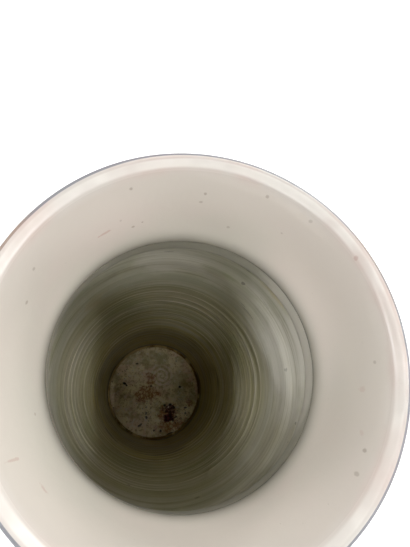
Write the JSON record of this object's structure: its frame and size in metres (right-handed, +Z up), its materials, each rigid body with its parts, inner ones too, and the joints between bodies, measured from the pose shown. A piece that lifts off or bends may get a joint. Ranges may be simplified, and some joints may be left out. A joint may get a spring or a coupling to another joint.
{
  "type": "rouleau vase",
  "caption": "Tall near-cylindrical glazed porcelain vase with rounded shoulder, short waisted neck, dished mouth and bevelled foot ring, for display or flowers.",
  "frame": {"origin": "centre of the face that the foot ring stands on", "axes": "+Z up along the vase's axis, from the foot to the mouth"},
  "size_m": [0.152, 0.1524, 0.455],
  "materials": {
    "outer_glaze": "glossy pale glaze with a faint green tint",
    "inner_glaze": "thin olive grey glaze over throwing ridges, stained darker towards the floor",
    "slip": "matt fired slip",
    "biscuit": "matt unglazed foot, toasted in the kiln",
    "floor_disc": "rough dry-glazed disc with pits and rusty stains"
  },
  "bodies": {
    "root": {"foot_ring": "biscuit", "foot_slip_seam": "slip", "base_disc": "floor_disc", "lower_body": "inner_glaze", "waist_slip_seam": "slip", "upper_body": "outer_glaze", "shoulder_slip_seam": "slip", "shoulder": "outer_glaze", "neck_slip_seam": "slip", "neck": "outer_glaze", "mouth_slip_seam": "slip", "mouth_rim": "outer_glaze"}
  },
  "joints": []
}
